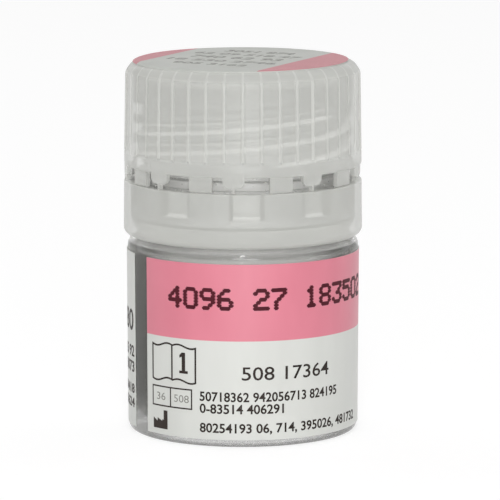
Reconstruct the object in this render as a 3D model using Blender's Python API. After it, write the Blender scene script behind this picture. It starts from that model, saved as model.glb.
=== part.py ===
# A contact lens vial: a clear round vial with a wrap-round label, a ribbed screw cap with a label on
# its top, a tamper ring below the cap, a sealing liner inside the cap, and the lens on the vial's floor.
# Units are metres and +Z is up. The vial stands on z = 0 with its axis on the Z axis, and its front,
# where the side label starts, faces -Y. Angles are in degrees from the front, positive towards +X,
# which is anticlockwise seen from above.

import math

import bmesh
import bpy

MM = 0.001

# Vial body
BODY_RADIUS = 14.62 * MM  # at the shoulder
BODY_DRAFT = 0.12 * MM  # radius lost between the shoulder and the base
BODY_HEIGHT = 24.85 * MM  # up to the flat of the shoulder
BODY_WALL = 1.0 * MM
SHOULDER_RADIUS = 1.2 * MM
SHOULDER_THICKNESS = 1.1 * MM
INNER_SHOULDER_RADIUS = 0.9 * MM
BASE_EDGE_RADIUS = 0.8 * MM
FOOT_WIDTH = 2.4 * MM  # the flat ring that the vial stands on
PUSH_UP = 0.6 * MM  # how far the underside is hollowed inside the foot
PUSH_UP_SLOPE = 0.9 * MM
BASE_THICKNESS = 1.3 * MM
FLOOR_CORNER_RADIUS = 1.1 * MM

# Neck
NECK_STEP = 2.12 * MM  # from the body's radius in to the neck's
NECK_HEIGHT = 19.75 * MM
NECK_WALL = 1.2 * MM
NECK_FILLET = 0.4 * MM
MOUTH_EDGE_RADIUS = 0.3 * MM
BEAD_HEIGHT = 1.2 * MM  # the bead that holds the tamper ring down
BEAD_EDGE = 0.3 * MM

# Three-start right-hand thread, shared by the neck and the cap
THREAD_STARTS = 3
THREAD_PITCH = 2.5 * MM
THREAD_DEPTH = 1.0 * MM
THREAD_ROOT_WIDTH = 1.4 * MM
THREAD_CREST_WIDTH = 0.7 * MM
THREAD_SINK = 0.25 * MM  # how far a ridge reaches into the wall that carries it
THREAD_FIRST_ANGLE = 16.0
THREAD_RUN_OUT = 24.0  # degrees over which a ridge rises out of its wall
THREAD_END_SHARE = 0.5  # width of a ridge at its very ends, as a share of its full width
THREAD_STEP = 14.0  # degrees between a ridge's sections
NECK_THREAD_DROP = 1.3 * MM  # from the rim down to the upper end of a ridge
NECK_THREAD_SWEEP = 310.0
CAP_THREAD_LIFT = 1.69 * MM  # from the skirt's lower edge up to the lower end of a ridge
CAP_THREAD_SWEEP = 280.0
THREAD_CREST_CLEARANCE = 0.3 * MM

# Tamper ring
RING_SEAT_GAP = 0.1 * MM
RING_HEIGHT = 6.95 * MM
RING_WALL = 0.86 * MM
RING_OVERHANG = 0.03 * MM  # how far the ring stands out past the cap's flange
RING_DRAFT = 0.06 * MM
RING_EDGE = 0.15 * MM
RING_FOOT_HEIGHT = 0.95 * MM  # the rounded run-in at the ring's lower edge
RING_FOOT_DEPTH = 1.05 * MM
RING_LIP_HEIGHT = 2.25 * MM  # the thicker lower band that tapers towards the neck
RING_LIP_CLEARANCE = 0.8 * MM
PAD_COUNT = 9
PAD_ANGLE = 18.0
PAD_FIRST_ANGLE = 2.0
PAD_HEIGHT = 3.25 * MM
PAD_DROP = 0.15 * MM
PAD_CLEARANCE = 0.45 * MM
PAD_BEVEL = 0.35 * MM
PAD_FLAT_SHARE = 0.84  # share of a pad's width between its bevelled ends
BEAD_GAP = 0.1 * MM  # between the ring's top and the bead's underside

# Cap
SLOT_HEIGHT = 2.0 * MM  # between the ring's top and the cap's skirt
CAP_WALL = 1.03 * MM
RIB_HEIGHT = 0.17 * MM
CAP_DRAFT = 0.15 * MM
CAP_TOP_THICKNESS = 1.3 * MM
CAP_EDGE_RADIUS = 1.7 * MM
FLANGE_HEIGHT = 1.6 * MM  # the smooth band at the skirt's lower edge
FLANGE_EDGE = 0.25 * MM
CEILING_FILLET = 0.4 * MM
RIB_COUNT = 40
RIB_ROOT_WIDTH = 0.6 * MM
RIB_CREST_WIDTH = 0.34 * MM
RIB_SINK = 0.3 * MM
RIB_INSET = 0.03 * MM  # how far a rib's foot stands back from the flange's edge
RIB_FADE = 0.62  # how much of the cap's rounded edge a rib climbs before it is gone
RIB_FADE_STEPS = 2

# Lugs below the cap's flange, each with the thin bridge that breaks away from the ring. Beside each
# lug a square stop reaches down almost to the ring, so that driving the cap home can't crush a bridge.
LUG_COUNT = 9
LUG_FIRST_ANGLE = -4.5
LUG_WIDTH = 2.75 * MM
LUG_DROP = 1.3 * MM
LUG_CORNER_RADIUS = 0.75 * MM
LUG_THICKNESS = 0.72 * MM
LUG_INSET = 0.02 * MM
LUG_SINK = 0.3 * MM
BRIDGE_WIDTH = 0.36 * MM
BRIDGE_TIP_WIDTH = 0.2 * MM
BRIDGE_GAP = 0.05 * MM
STOP_TURN = -16.5  # degrees from a lug to its stop
STOP_WIDTH = 3.1 * MM
STOP_FOOT_WIDTH = 2.95 * MM
STOP_THICKNESS = 0.62 * MM
STOP_INSET = 0.24 * MM
STOP_GAP = 0.1 * MM

# Sealing liner
LINER_THICKNESS = 1.0 * MM
LINER_CLEARANCE = 0.3 * MM
LINER_GAP = 0.05 * MM
LINER_EDGE = 0.12 * MM

# Labels
LABEL_THICKNESS = 0.08 * MM
LABEL_GAP = 0.03 * MM
LABEL_LOW = 1.0 * MM
LABEL_HIGH = 23.15 * MM
LABEL_FIRST_ANGLE = -54.9
LABEL_LAST_ANGLE = 292.0
CAP_LABEL_MARGIN = 1.4 * MM  # from the flange's radius in to the disc's edge
CAP_LABEL_THICKNESS = 0.1 * MM
CAP_LABEL_GAP = 0.04 * MM
CAP_LABEL_OFFSET = -0.3 * MM  # the printed disc sits a little left of the cap's centre
CAP_LABEL_RIM = 1.2 * MM  # the width at the disc's edge that bends down with the cap

# Rigid contact lens, lying rim down
LENS_RADIUS = 4.8 * MM
LENS_BASE_CURVE = 7.8 * MM
LENS_THICKNESS = 0.16 * MM
LENS_EDGE_THICKNESS = 0.11 * MM
LENS_GAP = 0.04 * MM

# How finely round pieces are cut
VIAL_SEGMENTS = 48
CAP_SEGMENTS = 80
RING_SEGMENTS = 48
DISC_SEGMENTS = 40
LABEL_SEGMENTS = 72
LENS_SEGMENTS = 30
LENS_STEPS = 4
RING_FOOT_STEPS = 3
RIM_STEPS = 3
EDGE_STEPS = 3
FINE_EDGE_STEPS = 4
SMALL_EDGE_STEPS = 2
SHARP_ANGLE = math.radians(32)
MERGE_DISTANCE = 0.0001 * MM

# Sizes that follow from the ones above
base_radius = BODY_RADIUS - BODY_DRAFT
neck_radius = BODY_RADIUS - NECK_STEP
mouth_radius = neck_radius - NECK_WALL
rim_height = BODY_HEIGHT + NECK_HEIGHT
floor_height = PUSH_UP + BASE_THICKNESS
thread_lead = THREAD_STARTS * THREAD_PITCH
thread_crest_radius = neck_radius + THREAD_DEPTH
ring_height_low = BODY_HEIGHT + RING_SEAT_GAP
ring_height_high = ring_height_low + RING_HEIGHT
cap_low = ring_height_high + SLOT_HEIGHT
liner_low = rim_height + LINER_GAP
ceiling_height = liner_low + LINER_THICKNESS + LINER_GAP
cap_high = ceiling_height + CAP_TOP_THICKNESS
cap_inner_radius = thread_crest_radius + THREAD_CREST_CLEARANCE
flange_radius = cap_inner_radius + CAP_WALL + RIB_HEIGHT
cap_label_radius = flange_radius - CAP_LABEL_MARGIN
ring_radius = flange_radius + RING_OVERHANG
ring_inner_radius = ring_radius - RING_WALL
neck_thread_low = rim_height - NECK_THREAD_DROP - thread_lead * NECK_THREAD_SWEEP / 360


def at(radius, angle, height):
    """A point on a circle about the vial's axis."""
    turn = math.radians(angle)
    return radius * math.sin(turn), -radius * math.cos(turn), height


def arc(radius, height, bend, first, last, steps):
    """Outline points (radius, height) round a centre, from one angle to another, 0 being outwards."""
    points = []
    for step in range(steps + 1):
        turn = math.radians(first + (last - first) * step / steps)
        points.append((radius + bend * math.cos(turn), height + bend * math.sin(turn)))
    return points


def clear_scene():
    for old in list(bpy.data.objects):
        bpy.data.objects.remove(old)


def finish(name, colour, roughness=0.3, alpha=1.0, transmission=0.0):
    """A plain material for one piece."""
    material = bpy.data.materials.new(name)
    material.use_nodes = True
    shader = material.node_tree.nodes["Principled BSDF"]
    shader.inputs["Base Color"].default_value = (*colour, 1.0)
    shader.inputs["Metallic"].default_value = 0.0
    shader.inputs["Roughness"].default_value = roughness
    shader.inputs["Alpha"].default_value = alpha
    shader.inputs["Transmission Weight"].default_value = transmission
    return material


def make_object(name, shape, material, height=0.0, parent=None):
    """Turns a finished bmesh into a smooth-shaded object whose origin is on the vial's axis."""
    bmesh.ops.recalc_face_normals(shape, faces=shape.faces)
    mesh = bpy.data.meshes.new(name)
    shape.to_mesh(mesh)
    shape.free()
    mesh.shade_smooth()
    mesh.set_sharp_from_angle(angle=SHARP_ANGLE)
    mesh.materials.append(material)
    piece = bpy.data.objects.new(name, mesh)
    piece.location.z = height
    piece.parent = parent
    bpy.context.scene.collection.objects.link(piece)
    return piece


def turned(outline, segments):
    """Spins an outline of (radius, height) about the axis. One that starts on the axis is left open there."""
    shape = bmesh.new()
    points = [shape.verts.new((radius, 0.0, height)) for radius, height in outline]
    pairs = list(zip(points, points[1:]))
    if outline[0][0] > 0:
        pairs.append((points[-1], points[0]))
    edges = [shape.edges.new(pair) for pair in pairs]
    bmesh.ops.spin(
        shape,
        geom=points + edges,
        cent=(0, 0, 0),
        axis=(0, 0, 1),
        angle=math.tau,
        steps=segments,
        use_merge=True,
    )
    bmesh.ops.remove_doubles(shape, verts=shape.verts, dist=MERGE_DISTANCE)
    return shape


def add_sections(shape, sections):
    """Joins closed sections of equal length, one after the other, and closes both ends."""
    rings = [[shape.verts.new(point) for point in section] for section in sections]
    for before, after in zip(rings, rings[1:]):
        for index in range(len(before)):
            follow = (index + 1) % len(before)
            shape.faces.new((before[index], before[follow], after[follow], after[index]))
    shape.faces.new(rings[0])
    shape.faces.new(reversed(rings[-1]))


def unite(piece, addition):
    """Adds a helper's form to a piece, and keeps the helper itself out of the model."""
    addition.hide_render = True
    addition.display_type = "WIRE"
    join = piece.modifiers.new(addition.name, "BOOLEAN")
    join.operation = "UNION"
    join.solver = "EXACT"
    join.object = addition


def thread_sections(root, crest, low, first_angle, sweep):
    """The sections of one thread ridge, which rises out of its wall at both ends."""
    inside = root - THREAD_SINK if crest > root else root + THREAD_SINK
    buried = (root + inside) / 2
    steps = round(sweep / THREAD_STEP)
    sections = []
    for step in range(steps + 1):
        turned_by = sweep * step / steps
        rise = min(1.0, turned_by / THREAD_RUN_OUT, (sweep - turned_by) / THREAD_RUN_OUT)
        top = buried + (crest - buried) * math.sin(rise * math.pi / 2)
        width_share = THREAD_END_SHARE + (1 - THREAD_END_SHARE) * rise
        root_half = THREAD_ROOT_WIDTH / 2 * width_share
        crest_half = THREAD_CREST_WIDTH / 2 * width_share
        angle = first_angle + turned_by
        height = low + thread_lead * turned_by / 360
        sections.append(
            [
                at(inside, angle, height - root_half),
                at(top, angle, height - crest_half),
                at(top, angle, height + crest_half),
                at(inside, angle, height + root_half),
            ]
        )
    return sections


def thread(name, root, crest, low, first_angle, sweep, material, height, parent=None):
    """Every start of a thread, as one helper."""
    shape = bmesh.new()
    for start in range(THREAD_STARTS):
        angle = first_angle + start * 360 / THREAD_STARTS
        add_sections(shape, thread_sections(root, crest, low - height, angle, sweep))
    return make_object(name, shape, material, height, parent)


def vial_outline():
    """The vial's section, from the middle of its underside up the outside and back down the inside."""
    foot_outside = base_radius - BASE_EDGE_RADIUS
    foot_inside = foot_outside - FOOT_WIDTH
    bead_low = ring_height_high + BEAD_GAP
    bead_high = bead_low + BEAD_HEIGHT
    inner_radius = BODY_RADIUS - BODY_WALL
    inner_base_radius = base_radius - BODY_WALL
    inner_shoulder = BODY_HEIGHT - SHOULDER_THICKNESS
    mouth_lead = (NECK_STEP - BODY_WALL + NECK_WALL - INNER_SHOULDER_RADIUS) / 2
    outline = [
        (0.0, PUSH_UP),
        (foot_inside - PUSH_UP_SLOPE, PUSH_UP),
        (foot_inside, 0.0),
    ]
    outline += arc(foot_outside, BASE_EDGE_RADIUS, BASE_EDGE_RADIUS, -90, 0, EDGE_STEPS)
    outline += arc(
        BODY_RADIUS - SHOULDER_RADIUS,
        BODY_HEIGHT - SHOULDER_RADIUS,
        SHOULDER_RADIUS,
        0,
        90,
        FINE_EDGE_STEPS,
    )
    outline += arc(
        neck_radius + NECK_FILLET,
        BODY_HEIGHT + NECK_FILLET,
        NECK_FILLET,
        270,
        180,
        SMALL_EDGE_STEPS,
    )
    outline += [
        (neck_radius, bead_low),
        (thread_crest_radius - BEAD_EDGE, bead_low),
        (thread_crest_radius, bead_low + BEAD_EDGE),
        (thread_crest_radius, bead_high - 2 * BEAD_EDGE),
        (thread_crest_radius - BEAD_EDGE, bead_high),
        (neck_radius, bead_high + BEAD_EDGE),
    ]
    edge_height = rim_height - MOUTH_EDGE_RADIUS
    outline += arc(
        neck_radius - MOUTH_EDGE_RADIUS, edge_height, MOUTH_EDGE_RADIUS, 0, 90, SMALL_EDGE_STEPS
    )
    outline += arc(
        mouth_radius + MOUTH_EDGE_RADIUS, edge_height, MOUTH_EDGE_RADIUS, 90, 180, SMALL_EDGE_STEPS
    )
    outline += arc(
        mouth_radius + mouth_lead, inner_shoulder + mouth_lead, mouth_lead, 180, 270, EDGE_STEPS
    )
    outline += arc(
        inner_radius - INNER_SHOULDER_RADIUS,
        inner_shoulder - INNER_SHOULDER_RADIUS,
        INNER_SHOULDER_RADIUS,
        90,
        0,
        EDGE_STEPS,
    )
    outline += arc(
        inner_base_radius - FLOOR_CORNER_RADIUS,
        floor_height + FLOOR_CORNER_RADIUS,
        FLOOR_CORNER_RADIUS,
        0,
        -90,
        EDGE_STEPS,
    )
    outline.append((0.0, floor_height))
    return outline


def build_vial():
    clear = finish("vial", (0.92, 0.93, 0.91), 0.04, 0.35, 0.9)
    vial = make_object("vial", turned(vial_outline(), VIAL_SEGMENTS), clear)
    ridges = thread(
        "neck_thread",
        neck_radius,
        thread_crest_radius,
        neck_thread_low,
        THREAD_FIRST_ANGLE,
        NECK_THREAD_SWEEP,
        clear,
        0.0,
    )
    unite(vial, ridges)
    return vial


def build_side_label(vial):
    """A strip wrapped round the body, its ends a little apart, that follows the body's slight taper."""
    paper = finish("side_label", (0.88, 0.88, 0.85), 0.45)
    taper = BODY_DRAFT / (BODY_HEIGHT - SHOULDER_RADIUS - BASE_EDGE_RADIUS)
    low_radius = base_radius + (LABEL_LOW - BASE_EDGE_RADIUS) * taper + LABEL_GAP
    high_radius = base_radius + (LABEL_HIGH - BASE_EDGE_RADIUS) * taper + LABEL_GAP
    sections = []
    for step in range(LABEL_SEGMENTS + 1):
        angle = LABEL_FIRST_ANGLE + (LABEL_LAST_ANGLE - LABEL_FIRST_ANGLE) * step / LABEL_SEGMENTS
        sections.append(
            [
                at(low_radius, angle, 0.0),
                at(low_radius + LABEL_THICKNESS, angle, 0.0),
                at(high_radius + LABEL_THICKNESS, angle, LABEL_HIGH - LABEL_LOW),
                at(high_radius, angle, LABEL_HIGH - LABEL_LOW),
            ]
        )
    shape = bmesh.new()
    add_sections(shape, sections)
    return make_object("side_label", shape, paper, LABEL_LOW, vial)


def build_tamper_ring(vial):
    """The ring left on the neck: pads inside it sit under the neck's bead."""
    plastic = finish("tamper_ring", (0.76, 0.76, 0.73), 0.32, 0.75, 0.4)
    foot_radius = ring_radius + RING_DRAFT
    lip_radius = neck_radius + RING_LIP_CLEARANCE
    outline = [
        (ring_radius - RING_EDGE, RING_HEIGHT),
        (ring_inner_radius + RING_EDGE, RING_HEIGHT),
        (ring_inner_radius, RING_HEIGHT - RING_EDGE),
        (ring_inner_radius, RING_LIP_HEIGHT),
        (lip_radius, RING_EDGE),
        (lip_radius + RING_EDGE, 0.0),
    ]
    for step in range(RING_FOOT_STEPS, -1, -1):
        turn = math.pi / 2 * step / RING_FOOT_STEPS
        inset = RING_FOOT_DEPTH * (1 - math.cos(turn))
        outline.append((foot_radius - inset, RING_FOOT_HEIGHT * (1 - math.sin(turn))))
    outline.append((ring_radius, RING_HEIGHT - RING_EDGE))
    ring = make_object(
        "tamper_ring", turned(outline, RING_SEGMENTS), plastic, ring_height_low, vial
    )
    pad_radius = neck_radius + PAD_CLEARANCE
    pad_back = ring_inner_radius + RING_WALL / 2
    high = RING_HEIGHT - PAD_DROP
    low = high - PAD_HEIGHT
    end = PAD_ANGLE / 2
    flat = end * PAD_FLAT_SHARE
    stations = ((-end, PAD_BEVEL), (-flat, 0.0), (0.0, 0.0), (flat, 0.0), (end, PAD_BEVEL))
    shape = bmesh.new()
    for pad in range(PAD_COUNT):
        middle = PAD_FIRST_ANGLE + pad * 360 / PAD_COUNT
        sections = []
        for turned_by, bevel in stations:
            angle = middle + turned_by
            sections.append(
                [
                    at(pad_radius + bevel, angle, low + PAD_BEVEL),
                    at(pad_radius + bevel, angle, high),
                    at(pad_back, angle, high),
                    at(pad_back, angle, low),
                ]
            )
        add_sections(shape, sections)
    unite(ring, make_object("ring_pads", shape, plastic, ring_height_low, vial))
    return ring


def rib_sections(angle, wall_low, wall_high, flange_top, edge_height):
    """One cap rib: a bar up the drafted wall that fades into the cap's rounded top edge."""
    levels = [
        (flange_top - FLANGE_EDGE, wall_low + RIB_HEIGHT - RIB_INSET),
        (edge_height, wall_high + RIB_HEIGHT),
    ]
    for step in range(1, RIB_FADE_STEPS + 1):
        share = step / RIB_FADE_STEPS
        climb = CAP_EDGE_RADIUS * RIB_FADE * share
        inset = CAP_EDGE_RADIUS - math.sqrt(CAP_EDGE_RADIUS**2 - climb**2)
        levels.append((edge_height + climb, wall_high - inset + RIB_HEIGHT * (1 - share)))
    sections = []
    for height, radius in levels:
        root = math.degrees(RIB_ROOT_WIDTH / 2 / radius)
        crest = math.degrees(RIB_CREST_WIDTH / 2 / radius)
        back = min(radius, wall_high) - RIB_SINK
        sections.append(
            [
                at(back, angle - root, height),
                at(radius - RIB_HEIGHT, angle - root, height),
                at(radius, angle - crest, height),
                at(radius, angle + crest, height),
                at(radius - RIB_HEIGHT, angle + root, height),
                at(back, angle + root, height),
            ]
        )
    return sections


def lug_outline():
    """The outline of a lug and its bridge, as (distance along the rim, height)."""
    half = LUG_WIDTH / 2
    corner = arc(
        half - LUG_CORNER_RADIUS, LUG_CORNER_RADIUS - LUG_DROP, LUG_CORNER_RADIUS, 0, -90, EDGE_STEPS
    )
    right = [(half, LUG_SINK)] + corner
    right += [(BRIDGE_WIDTH / 2, -LUG_DROP), (BRIDGE_TIP_WIDTH / 2, BRIDGE_GAP - SLOT_HEIGHT)]
    left = [(-along, height) for along, height in reversed(right)]
    return right + left


def stop_outline():
    """The outline of a stop, as (distance along the rim, height), a little narrower at its foot."""
    top = STOP_WIDTH / 2
    foot = STOP_FOOT_WIDTH / 2
    low = STOP_GAP - SLOT_HEIGHT
    return [(top, LUG_SINK), (foot, low), (0.0, low), (-foot, low), (-top, LUG_SINK), (0.0, LUG_SINK)]


def add_rim_tabs(shape, outline, first_angle, outside, thickness):
    """Copies of a flat outline, curved with the cap's rim and set round it."""
    for tab in range(LUG_COUNT):
        middle = first_angle + tab * 360 / LUG_COUNT
        sections = []
        for radius in (outside - thickness, outside):
            section = []
            for along, height in outline:
                section.append(at(radius, middle + math.degrees(along / outside), height))
            sections.append(section)
        add_sections(shape, sections)


def build_cap_thread(plastic, cap_axis):
    """The cap's ridges: on the neck's helix, half a pitch lower, from a set height in the skirt."""
    low = cap_low + CAP_THREAD_LIFT
    climbed = low - (neck_thread_low - THREAD_PITCH / 2)
    first_angle = THREAD_FIRST_ANGLE + 360 * climbed / thread_lead
    crest = neck_radius + THREAD_CREST_CLEARANCE
    return thread(
        "cap_thread",
        cap_inner_radius,
        crest,
        low,
        first_angle,
        CAP_THREAD_SWEEP,
        plastic,
        cap_low,
        cap_axis,
    )


def build_cap(cap_axis):
    """The screw cap: ribbed skirt, smooth flange, thread inside and lugs below."""
    plastic = finish("cap", (0.76, 0.76, 0.73), 0.32, 0.75, 0.4)
    height = cap_high - cap_low
    ceiling = ceiling_height - cap_low
    wall_low = flange_radius - RIB_HEIGHT
    wall_high = wall_low - CAP_DRAFT
    edge_height = height - CAP_EDGE_RADIUS
    outline = [(0.0, height)]
    outline += arc(wall_high - CAP_EDGE_RADIUS, edge_height, CAP_EDGE_RADIUS, 90, 0, FINE_EDGE_STEPS)
    outline += [
        (wall_low, FLANGE_HEIGHT + RIB_HEIGHT),
        (flange_radius, FLANGE_HEIGHT),
        (flange_radius, FLANGE_EDGE),
        (flange_radius - FLANGE_EDGE, 0.0),
        (cap_inner_radius + FLANGE_EDGE, 0.0),
        (cap_inner_radius, FLANGE_EDGE),
        (cap_inner_radius, ceiling - CEILING_FILLET),
        (cap_inner_radius - CEILING_FILLET, ceiling),
        (0.0, ceiling),
    ]
    cap = make_object("cap", turned(outline, CAP_SEGMENTS), plastic, cap_low, cap_axis)
    ribs = bmesh.new()
    for rib in range(RIB_COUNT):
        angle = rib * 360 / RIB_COUNT
        add_sections(ribs, rib_sections(angle, wall_low, wall_high, FLANGE_HEIGHT, edge_height))
    unite(cap, make_object("cap_ribs", ribs, plastic, cap_low, cap_axis))
    unite(cap, build_cap_thread(plastic, cap_axis))
    tabs = bmesh.new()
    lug_outside = flange_radius - LUG_INSET
    stop_outside = flange_radius - STOP_INSET
    add_rim_tabs(tabs, lug_outline(), LUG_FIRST_ANGLE, lug_outside, LUG_THICKNESS)
    add_rim_tabs(tabs, stop_outline(), LUG_FIRST_ANGLE + STOP_TURN, stop_outside, STOP_THICKNESS)
    unite(cap, make_object("cap_tabs", tabs, plastic, cap_low, cap_axis))
    return cap


def cap_top_drop(radius):
    """How far the cap's rounded edge has fallen below its flat top at a distance from the axis."""
    flat_radius = flange_radius - RIB_HEIGHT - CAP_DRAFT - CAP_EDGE_RADIUS
    past = min(CAP_EDGE_RADIUS, max(0.0, radius - flat_radius))
    return CAP_EDGE_RADIUS - math.sqrt(CAP_EDGE_RADIUS**2 - past**2)


def build_cap_label(cap_axis):
    """A disc stuck on the cap's top, whose rim follows the cap's rounded edge downwards."""
    paper = finish("cap_label", (0.85, 0.85, 0.82), 0.45)
    rings = [cap_label_radius - CAP_LABEL_RIM * step / RIM_STEPS for step in range(RIM_STEPS, -1, -1)]
    outline = [(0.0, CAP_LABEL_THICKNESS)]
    outline += [(radius, CAP_LABEL_THICKNESS) for radius in rings]
    outline += [(radius, 0.0) for radius in reversed(rings)]
    outline.append((0.0, 0.0))
    shape = turned(outline, DISC_SEGMENTS)
    for point in shape.verts:
        from_axis = math.hypot(point.co.x + CAP_LABEL_OFFSET, point.co.y)
        point.co.z -= cap_top_drop(from_axis)
    label = make_object("cap_label", shape, paper, cap_high + CAP_LABEL_GAP, cap_axis)
    label.location.x = CAP_LABEL_OFFSET
    return label


def build_liner():
    """The soft disc between the cap's ceiling and the vial's rim."""
    foam = finish("cap_liner", (0.86, 0.86, 0.84), 0.6)
    radius = cap_inner_radius - LINER_CLEARANCE
    outline = [
        (0.0, LINER_THICKNESS),
        (radius - LINER_EDGE, LINER_THICKNESS),
        (radius, LINER_THICKNESS - LINER_EDGE),
        (radius, LINER_EDGE),
        (radius - LINER_EDGE, 0.0),
        (0.0, 0.0),
    ]
    return make_object("cap_liner", turned(outline, DISC_SEGMENTS), foam, liner_low)


def build_lens(vial):
    """The lens lies rim down: its back surface is the base curve, and its edge is a little thinner."""
    tinted = finish("contact_lens", (0.72, 0.86, 0.92), 0.03, 0.35, 0.95)
    drop = LENS_BASE_CURVE - math.sqrt(LENS_BASE_CURVE**2 - LENS_RADIUS**2)
    front = []
    back = []
    for step in range(LENS_STEPS + 1):
        radius = LENS_RADIUS * step / LENS_STEPS
        sag = LENS_BASE_CURVE - math.sqrt(LENS_BASE_CURVE**2 - radius**2)
        share = (radius / LENS_RADIUS) ** 2
        thickness = LENS_THICKNESS + (LENS_EDGE_THICKNESS - LENS_THICKNESS) * share
        front.append((radius, drop - sag + thickness))
        back.append((radius, drop - sag))
    outline = front + back[::-1]
    height = floor_height + LENS_GAP
    return make_object("contact_lens", turned(outline, LENS_SEGMENTS), tinted, height, vial)


def main():
    clear_scene()
    vial = build_vial()
    build_side_label(vial)
    build_tamper_ring(vial)
    build_lens(vial)
    liner = build_liner()
    cap_axis = bpy.data.objects.new("cap_axis", None)
    cap_axis.parent = liner
    cap_axis.location.z = -liner_low
    bpy.context.scene.collection.objects.link(cap_axis)
    build_cap(cap_axis)
    build_cap_label(cap_axis)
    bpy.context.view_layer.update()


main()
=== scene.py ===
# Looks of a contact lens vial: clear moulded vial, frosted screw cap with its tamper ring,
# a printed side label and a round label on the cap. Lengths in the dictionaries are millimetres,
# angles are degrees from the front (-Y), positive towards +X.

import math

import bmesh
import bpy
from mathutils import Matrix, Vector


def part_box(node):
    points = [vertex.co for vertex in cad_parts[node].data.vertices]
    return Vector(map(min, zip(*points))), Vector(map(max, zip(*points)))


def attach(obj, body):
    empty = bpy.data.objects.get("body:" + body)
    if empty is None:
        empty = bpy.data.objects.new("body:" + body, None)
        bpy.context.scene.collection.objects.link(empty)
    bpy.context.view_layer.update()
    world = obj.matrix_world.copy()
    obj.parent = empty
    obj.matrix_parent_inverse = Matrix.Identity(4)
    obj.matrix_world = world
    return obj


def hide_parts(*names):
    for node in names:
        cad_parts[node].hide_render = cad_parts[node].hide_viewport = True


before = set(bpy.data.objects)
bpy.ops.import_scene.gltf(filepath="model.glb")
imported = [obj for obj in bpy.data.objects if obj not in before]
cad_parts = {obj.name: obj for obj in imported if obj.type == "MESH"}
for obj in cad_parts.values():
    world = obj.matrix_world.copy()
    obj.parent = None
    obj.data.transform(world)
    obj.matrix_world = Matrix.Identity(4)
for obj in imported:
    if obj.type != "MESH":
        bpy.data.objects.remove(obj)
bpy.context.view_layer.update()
mm = 0.001
mergeGap = 0.0002
sharpAngle = math.radians(38)
noiseSpan = (0.3, 0.7)


def boxOf(node):
    low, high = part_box(node)
    return low / mm, high / mm


vialLow, vialHigh = boxOf("vial")
ringLow, ringHigh = boxOf("tamper_ring")
capLow, capHigh = boxOf("cap")
linerLow, linerHigh = boxOf("cap_liner")
labelLow, labelHigh = boxOf("side_label")
topLabelLow, topLabelHigh = boxOf("cap_label")
lensLow, lensHigh = boxOf("contact_lens")
print("frame loaded, nodes:", len(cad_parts))


# Node helpers

def addNode(tree, kind, place, **values):
    node = tree.nodes.new(kind)
    node.location = place
    for name, value in values.items():
        setattr(node, name, value)
    return node


def newGroup(name, inputs, outputs):
    group = bpy.data.node_groups.new(name, "ShaderNodeTree")
    for label, value in inputs.items():
        socket = group.interface.new_socket(label, in_out="INPUT", socket_type="NodeSocketFloat")
        socket.default_value = value
    for label in outputs:
        group.interface.new_socket(label, in_out="OUTPUT", socket_type="NodeSocketFloat")
    enter = addNode(group, "NodeGroupInput", (-900, 0))
    leave = addNode(group, "NodeGroupOutput", (500, 0))
    return group, enter, leave


def mouldedSurfaceGroup():
    # slow waves from cooling, fine polish haze and a few dust specks
    group, enter, leave = newGroup(
        "mouldedSurface",
        {"Wave Scale": 160.0, "Haze Scale": 2500.0, "Speck Scale": 900.0, "Speck Size": 0.08},
        ["Height", "Haze", "Specks"],
    )
    link = group.links.new
    spot = addNode(group, "ShaderNodeTexCoord", (-1100, -200))
    wave = addNode(group, "ShaderNodeTexNoise", (-600, 200))
    wave.inputs["Detail"].default_value = 1.5
    haze = addNode(group, "ShaderNodeTexNoise", (-600, -50))
    haze.inputs["Detail"].default_value = 3.0
    speck = addNode(group, "ShaderNodeTexVoronoi", (-600, -350))
    small = addNode(group, "ShaderNodeMath", (-300, -350), operation="LESS_THAN")
    for texture, scale in ((wave, "Wave Scale"), (haze, "Haze Scale"), (speck, "Speck Scale")):
        link(spot.outputs["Object"], texture.inputs["Vector"])
        link(enter.outputs[scale], texture.inputs["Scale"])
    link(speck.outputs["Distance"], small.inputs[0])
    link(enter.outputs["Speck Size"], small.inputs[1])
    link(wave.outputs["Fac"], leave.inputs["Height"])
    link(haze.outputs["Fac"], leave.inputs["Haze"])
    link(small.outputs["Value"], leave.inputs["Specks"])
    return group


def paperGrainGroup():
    # coated label stock: fine fibre, with a slow change of tone
    group, enter, leave = newGroup(
        "paperGrain", {"Fibre Scale": 3500.0, "Tone Scale": 220.0}, ["Height", "Fibre", "Tone"]
    )
    link = group.links.new
    spot = addNode(group, "ShaderNodeTexCoord", (-1100, -200))
    stretch = addNode(group, "ShaderNodeMapping", (-900, -250))
    stretch.inputs["Scale"].default_value = (1.0, 1.0, 0.35)
    fibre = addNode(group, "ShaderNodeTexNoise", (-600, 100))
    fibre.inputs["Detail"].default_value = 4.0
    tone = addNode(group, "ShaderNodeTexNoise", (-600, -200))
    tone.inputs["Detail"].default_value = 2.0
    link(spot.outputs["Object"], stretch.inputs["Vector"])
    for texture, scale in ((fibre, "Fibre Scale"), (tone, "Tone Scale")):
        link(stretch.outputs["Vector"], texture.inputs["Vector"])
        link(enter.outputs[scale], texture.inputs["Scale"])
    link(fibre.outputs["Fac"], leave.inputs["Height"])
    link(fibre.outputs["Fac"], leave.inputs["Fibre"])
    link(tone.outputs["Fac"], leave.inputs["Tone"])
    return group


mouldedSurface = mouldedSurfaceGroup()
paperGrain = paperGrainGroup()


def startMaterial(name, **sockets):
    material = bpy.data.materials.new(name)
    material.use_nodes = True
    shader = material.node_tree.nodes["Principled BSDF"]
    shader.location = (500, 0)
    for label, value in sockets.items():
        shader.inputs[label.replace("_", " ")].default_value = value
    return material, material.node_tree, shader


def placeGroup(tree, group, place, values):
    node = addNode(tree, "ShaderNodeGroup", place, node_tree=group)
    for label, value in values.items():
        node.inputs[label].default_value = value
    return node


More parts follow.
